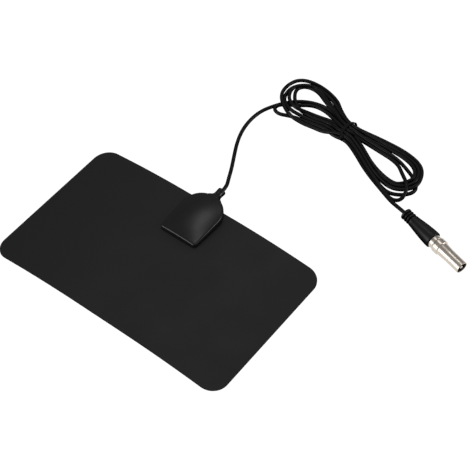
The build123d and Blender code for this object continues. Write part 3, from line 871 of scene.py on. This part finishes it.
class ANTENNA_OT_plug(bpy.types.Operator):
    """Plug: grooved boot, drawn shell, insulator and pin, turned about one axis"""

    bl_idname = "antenna.plug"
    bl_label = "Plug"

    def execute(self, context):
        sizes = context.scene.antenna_plug
        finishes = context.scene.antenna_finishes

        # Boot: rear + (body - rear) * sin(s * pi / 2)^1.1 along its rise, with rounded ends, less
        # three soft grooves of depth * exp(-(distance / half)^4)
        station = np.linspace(0.0, 1.0, 260) * sizes.boot_length
        rise = np.clip((station / MM - BOOT_RISE_START) / BOOT_RISE_RUN, 0.0, 1.0)
        swell = np.sin(0.5 * np.pi * rise) ** 1.1
        radius = sizes.boot_rear + (sizes.boot_body - sizes.boot_rear) * swell
        rear = np.clip((BOOT_REAR_ROUND - station) / BOOT_REAR_ROUND, 0.0, 1.0)
        rim = np.clip((station - sizes.boot_length + BOOT_RIM_ROUND) / BOOT_RIM_ROUND, 0.0, 1.0)
        radius -= BOOT_REAR_ROUND * (1 - np.sqrt(1 - rear**2))
        radius -= BOOT_RIM_ROUND * (1 - np.sqrt(1 - rim**2))
        apart = station[:, None] / MM - np.array(GROOVES)
        cut = np.exp(-(apart**4) / GROOVE_HALF**4).sum(axis=1)
        radius -= sizes.groove * cut
        outside = np.stack([station, radius], axis=1)
        inside = np.array(
            [
                (sizes.boot_length, sizes.band),
                (SHELL_START, sizes.band),
                (SHELL_START, BOOT_BORE),
                (0.0, BOOT_BORE),
            ]
        )
        seam = BOOT_SEAM / sizes.boot_body

        def parted(stations, angles):
            """Factor on the boot's radius: 1 + seam * exp(-(sin a / w)^2) - flat * s * cos^2 2a.

            The first part is a low parting ridge of width w on both sides. The second flattens the
            faces faintly, and s lets it come in behind the grooves and go out before the rim.
            """
            place = stations / MM
            ridge = seam * np.exp(-((np.sin(angles) / SEAM_WIDTH) ** 2))
            come_in = np.clip((place - FLATS_START) / FLATS_RUN, 0.0, 1.0)
            go_out = np.clip((FLATS_END - place) / FLATS_FADE, 0.0, 1.0)
            flats = FLATS_DEPTH * come_in * np.cos(2.0 * angles) ** 2
            outer = (stations >= 0.0) & (stations < sizes.boot_length)
            return 1.0 + np.where(outer, ridge - flats * go_out, 0.0)

        boot_grid = turned(np.concatenate([outside, inside]), PLUG_REAR, PLUG_AXIS, 128, parted)
        boot = make_piece("boot", [(boot_grid, True, False)])
        stand_for(boot, moulded_pvc(finishes.boot), "boot", "plug_boot")

        # Shell: neck band, rolled bead, shoulder and barrel in one drawn wall
        inner = sizes.band - sizes.wall
        mouth = sizes.barrel - sizes.wall
        corners = [
            (SHELL_START, inner),
            (SHELL_START, sizes.band),
            (BAND_END, sizes.band),
            (CREASE, sizes.band - CREASE_DEPTH),
            (BEAD_START, sizes.bead),
            (BEAD_END, sizes.bead),
            (BEAD_FOOT, sizes.bead - BEAD_FALL),
            (SHOULDER_END, sizes.barrel),
            (sizes.reach, sizes.barrel),
            (sizes.reach, mouth),
            (SHOULDER_END, mouth),
            (SHOULDER_START, inner),
        ]
        rounds = [0.05, 0.05, 0.1, 0.1, 0.5, 0.5, 0.15, 0.8, 0.22, 0.15, 0.3, 0.3]
        profile = divided(rounded_profile(corners, np.array(rounds) * MM), 0.7 * MM)
        skin = turned(profile, PLUG_REAR, PLUG_AXIS, 128)
        shell = make_piece("shell", [(skin, True, False)], 50.0)
        nickel = plated_nickel(finishes.nickel)
        stand_for(shell, nickel, "nickel", "plug_shell")

        # Pin: a round nosed wire, closed at both ends
        nose = np.linspace(0.0, 0.5 * np.pi, 8)
        straight = np.linspace(PIN_START, PIN_NOSE, 24)[:-1]
        wire = np.stack([straight, np.full_like(straight, sizes.pin)], axis=1)
        fall = sizes.pin - NOSE_ROUND * (1 - np.cos(nose))
        tip = np.stack([PIN_NOSE + NOSE_ROUND * np.sin(nose), fall], axis=1)
        line = np.concatenate([wire, tip])
        pin = make_piece("pin", [(turned(line, PLUG_REAR, PLUG_AXIS, 48), False, True)])
        stand_for(pin, nickel, "nickel", "plug_pin")

        # Insulator: a disc that holds the pin, and a thin black sleeve from it to just behind the
        # barrel's mouth, which is painted shade that darkens the barrel's inside
        corners = [
            (PIN_START, HOLDER_BORE),
            (PIN_START, SHADE_SLEEVE_OUTER),
            (SHADE_SLEEVE_END, SHADE_SLEEVE_OUTER),
            (SHADE_SLEEVE_END, SHADE_SLEEVE_INNER),
            (HOLDER_END, SHADE_SLEEVE_INNER),
            (HOLDER_END, HOLDER_BORE),
        ]
        rounds = np.array([0.05, 0.1, 0.1, 0.1, 0.1, 0.05]) * MM
        profile = divided(rounded_profile(corners, rounds), 1.2 * MM)
        holder_and_shade_sleeve_grid = turned(profile, PLUG_REAR, PLUG_AXIS, 96)
        # The sleeve part of this piece is painted shade: a dark sheet where the barrel's inside is
        # only in shadow
        insulator_and_shade_sleeve = make_piece("insulator", [(holder_and_shade_sleeve_grid, True, False)])
        stand_for(insulator_and_shade_sleeve, moulded_pvc(finishes.boot), "insulator", "plug_insulator")

        # Bright metal mirrors the paper it lies on
        for mirror in (shell, pin):
            bpy.data.collections["paper_light"].objects.link(mirror)
        return {"FINISHED"}


class ANTENNA_OT_tie(bpy.types.Operator):
    """Tie: a flat coated wire round the waist of the hank, thicker where it is twisted"""

    bl_idname = "antenna.tie"
    bl_label = "Cable tie"

    def execute(self, context):
        sizes = context.scene.antenna_cable
        near, far = TIE_LOW - FLOOR, TIE_LOW + (TIE_SLOTS - 1) * TIE_PITCH + FLOOR
        low, high = TIE_LIFT, 2.0 * FLOOR + TIE_LIFT + TIE_RISE
        across = 0.5 * (far - near) + TIE_PLAY
        upright = 0.5 * (high - low) + TIE_PLAY
        angle = np.linspace(0.0, 2.0 * np.pi, 240, endpoint=False)

        def squared(value):
            """A sine or cosine swollen towards a rounded square: sign * |value|^0.55."""
            return np.sign(value) * np.abs(value) ** 0.55

        # The band's path: a rounded square round the strands, slanting from its top to its sides
        place = np.stack(
            [
                EXIT[0] + TIE_X + TIE_TOP + TIE_SLANT * np.cos(angle) ** 2,
                EXIT[1] + 0.5 * (near + far) + across * squared(np.cos(angle)),
                0.5 * (low + high) + upright * squared(np.sin(angle)),
            ],
            axis=1,
        )
        place[:, 2] = np.maximum(place[:, 2], TIE_LOWEST)
        normal = np.stack([np.cos(angle), np.sin(angle)], axis=1) / TIE_HALVES
        outward = np.concatenate([np.zeros((len(angle), 1)), normal], axis=1)

        # Its section: an oval, thinned to 0.45 of its height beside the wire along its middle
        spin = np.linspace(0.0, 2.0 * np.pi, 28, endpoint=False)
        ridge = 0.45 + 0.55 * np.exp(-((np.cos(spin) / 0.35) ** 2))
        half_width, half_height = 0.5 * sizes.tie_width, 0.5 * sizes.tie_thickness
        oval = [half_width * np.cos(spin), half_height * np.sin(spin) * ridge]
        section = np.stack(oval, axis=1)

        # It is up to 2.1 times as thick at both sides, where the wire is twisted and bent over
        lump = 1.0 + 1.1 * np.exp(-((np.sin(angle) / 0.5) ** 2))
        fuller = section[None] * np.stack([np.ones_like(lump), lump], axis=1)[:, None]
        band = make_piece("tie_band", [(carried(place * MM, fuller, outward), True, False)])
        coat = coated_wire(context.scene.antenna_finishes.tie)
        stand_for(band, coat, "tie", "cable_tie")
        return {"FINISHED"}


class ANTENNA_OT_cable(bpy.types.Operator):
    """Coaxial lead: one smooth cord from the bush through the tied hank to the boot"""

    bl_idname = "antenna.cable"
    bl_label = "Coaxial lead"

    def execute(self, context):
        sizes = context.scene.antenna_cable
        route = cable_route()
        curve = bpy.data.curves.new("coaxial_lead", "CURVE")
        curve.dimensions = "3D"
        spline = curve.splines.new("NURBS")
        spline.points.add(len(route) - 1)
        weighted = np.concatenate([route, np.ones((len(route), 1))], axis=1)
        spline.points.foreach_set("co", weighted.ravel())
        spline.order_u = 3
        spline.use_endpoint_u = True
        spline.resolution_u = 10
        curve.resolution_u = 10
        curve.bevel_depth = 0.5 * sizes.diameter
        curve.bevel_resolution = 5
        curve.use_fill_caps = True
        lead = bpy.data.objects.new("coaxial_lead", curve)
        context.scene.collection.objects.link(lead)
        jacket = extruded_pvc(context.scene.antenna_finishes.jacket)
        stand_for(lead, jacket, "jacket", "cable_lead", "cable_hank", "cable_tail")
        dress(jacket, "cable_end")
        return {"FINISHED"}


class ANTENNA_OT_inner_parts(bpy.types.Operator):
    """Inner parts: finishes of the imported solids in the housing, the film and the plug"""

    bl_idname = "antenna.inner_parts"
    bl_label = "Inner parts"

    def execute(self, context):
        metal = {"Metallic": 1.0}
        # Rolled aluminium foil: bright grey with rolling lines
        tone, rough, lines = linear("#c9cbcd"), (0.28, 0.38), (1.0, 12.0, 12.0)
        foil = grained("aluminium_foil_rolled", tone, 0.92, 8.0, rough, 0.3, 0.004, metal, lines)
        dress(foil, "left_element", "right_element")
        # Steel, cold headed and zinc plated: cool grey with a soft gloss
        tone, rough = linear("#a9abad"), (0.3, 0.42)
        steel = grained("steel_headed_zinc_plated", tone, 0.88, 1.2, rough, 0.2, 0.004, metal)
        dress(steel, "housing_screws")
        # Glass fibre board under green lacquer: fine mottle under a soft gloss
        tone, rough = linear("#1d5a36"), (0.3, 0.42)
        board = grained("fibre_board_lacquered", tone, 0.8, 1.6, rough, 0.5, 0.01)
        dress(board, "matching_board")
        # Tinned brass rivets: pale yellow grey metal, dulled
        tone, rough = linear("#bfb59a"), (0.3, 0.4)
        rivet = grained("brass_rivet_tinned", tone, 0.85, 0.8, rough, 0.15, 0.003, metal)
        dress(rivet, "contact_rivets")
        # Sintered ferrite: dull dark grey with a powdery grain
        tone, rough = linear("#3a3836"), (0.6, 0.75)
        ferrite = grained("ferrite_sintered", tone, 0.8, 0.7, rough, 0.12, 0.01)
        dress(ferrite, "balun_core")
        # Copper wire under clear enamel: deep orange brown with a glossy coat
        tone, rough = linear("#a8582a"), (0.2, 0.3)
        enamel = grained("copper_wire_enamelled", tone, 0.8, 0.6, rough, 0.2, 0.002, metal)
        dress(enamel, "balun_winding")
        # Foamed polyethylene: milky white and waxy
        tone, rough = linear("#e6e4dc"), (0.45, 0.55)
        foam = grained("polyethylene_foamed", tone, 0.93, 0.6, rough, 0.15, 0.006)
        dress(foam, "coax_core")
        # Drawn copper: bright red metal with a fine grain
        tone, rough = linear("#c4774c"), (0.22, 0.32)
        copper = grained("copper_drawn", tone, 0.85, 0.4, rough, 0.1, 0.002, metal)
        dress(copper, "coax_conductor")
        # Tinned copper braid: grey metal, rough with crossing wires
        tone, rough = linear("#b9b6ae"), (0.3, 0.45)
        braid = grained("copper_braid_tinned", tone, 0.6, 0.35, rough, 0.25, 0.05, metal)
        dress(braid, "coax_braid")
        # Solder left to set: bright grey with a slight orange peel
        tone, rough = linear("#bfc0c2"), (0.2, 0.34)
        solder = grained("solder_set", tone, 0.9, 0.5, rough, 0.3, 0.01, metal)
        dress(solder, "solder_joints")
        return {"FINISHED"}


class ANTENNA_OT_stage(bpy.types.Operator):
    """Stage: camera at the viewing angle, pale floor and soft light"""

    bl_idname = "antenna.stage"
    bl_label = "Stage"

    def execute(self, context):
        scene = context.scene
        stage = scene.antenna_stage

        camera = bpy.data.objects.new("camera", bpy.data.cameras.new("camera"))
        camera.data.sensor_width = 36.0
        camera.data.sensor_fit = "HORIZONTAL"
        camera.data.lens = stage.lens
        camera.data.clip_end = 100.0
        turn, tilt, roll = (math.radians(value) for value in CAMERA_ANGLES)
        gaze = (
            mathutils.Matrix.Rotation(turn, 4, "Z")
            @ mathutils.Matrix.Rotation(tilt, 4, "X")
            @ mathutils.Matrix.Rotation(roll, 4, "Z")
        )
        camera.matrix_world = mathutils.Matrix.Translation(CAMERA_PLACE) @ gaze
        scene.collection.objects.link(camera)
        scene.camera = camera
        scene.view_settings.view_transform = "Standard"

        side = 0.5 * stage.floor_side
        step = np.linspace(-side, side, FLOOR_LINES)
        x, y = np.meshgrid(step, step)
        points = np.stack([x, y, np.full_like(x, -FLOOR_DROP)], axis=-1).reshape(-1, 3)
        index = np.arange(FLOOR_LINES**2).reshape(FLOOR_LINES, FLOOR_LINES)
        corners = [index[:-1, :-1], index[:-1, 1:], index[1:, 1:], index[1:, :-1]]
        quads = np.stack(corners, axis=-1).reshape(-1, 4)
        mesh = bpy.data.meshes.new("floor")
        mesh.from_pydata(points.tolist(), [], quads.tolist())
        floor = bpy.data.objects.new("floor", mesh)
        scene.collection.objects.link(floor)
        mesh.materials.append(lit_paper(scene.antenna_finishes.floor))
        # Of the pieces, only the bright metal that is linked to this collection mirrors the paper
        lit = bpy.data.collections.new("paper_light")
        floor.light_linking.receiver_collection = lit

        # Lamps: place, side of the square and power
        for name, place, size, power in (
            ("soft_box", (-0.40, 0.66, 1.69), 0.46, stage.key_power),
            ("front", (-0.75, -1.45, 0.5), 0.9, stage.front_power),
            ("edge", (1.45, 1.0, 0.5), 0.7, stage.edge_power),
        ):
            lamp = bpy.data.lights.new(name, "AREA")
            lamp.shape = "SQUARE"
            lamp.size = size
            lamp.energy = power
            light = bpy.data.objects.new(name, lamp)
            light.location = place
            aim = mathutils.Vector(LAMP_AIM) - light.location
            light.rotation_euler = aim.to_track_quat("-Z", "Y").to_euler()
            scene.collection.objects.link(light)

        world = bpy.data.worlds.new("studio")
        scene.world = world
        world.use_nodes = True
        walls = world.node_tree.nodes["Background"]
        walls.inputs["Color"].default_value = (1.0, 1.0, 1.0, 1.0)
        walls.inputs["Strength"].default_value = stage.surround
        return {"FINISHED"}


class ANTENNA_PT_pieces(bpy.types.Panel):
    """Sidebar panel that lists the antenna's pieces"""

    bl_idname = "ANTENNA_PT_pieces"
    bl_label = "Antenna"
    bl_space_type = "VIEW_3D"
    bl_region_type = "UI"
    bl_category = "Antenna"

    def draw(self, context):
        for operator in OPERATORS:
            self.layout.operator(operator.bl_idname)


OPERATORS = (
    ANTENNA_OT_stage,
    ANTENNA_OT_panel,
    ANTENNA_OT_housing,
    ANTENNA_OT_plug,
    ANTENNA_OT_tie,
    ANTENNA_OT_cable,
    ANTENNA_OT_inner_parts,
)


def register():
    """Register the classes and hang the property groups on the scene."""
    for group in (*GROUPS.values(), *OPERATORS, ANTENNA_PT_pieces):
        bpy.utils.register_class(group)
    for name, group in GROUPS.items():
        setattr(bpy.types.Scene, name, bpy.props.PointerProperty(type=group))


def unregister():
    """Take the property groups off the scene and unregister the classes."""
    for name in GROUPS:
        delattr(bpy.types.Scene, name)
    for group in reversed((*GROUPS.values(), *OPERATORS, ANTENNA_PT_pieces)):
        bpy.utils.unregister_class(group)


def main():
    """Make every piece in order."""
    register()
    bpy.ops.antenna.stage()
    bpy.ops.antenna.panel()
    bpy.ops.antenna.housing()
    bpy.ops.antenna.plug()
    bpy.ops.antenna.tie()
    bpy.ops.antenna.cable()
    bpy.ops.antenna.inner_parts()


if __name__ == "__main__":
    main()
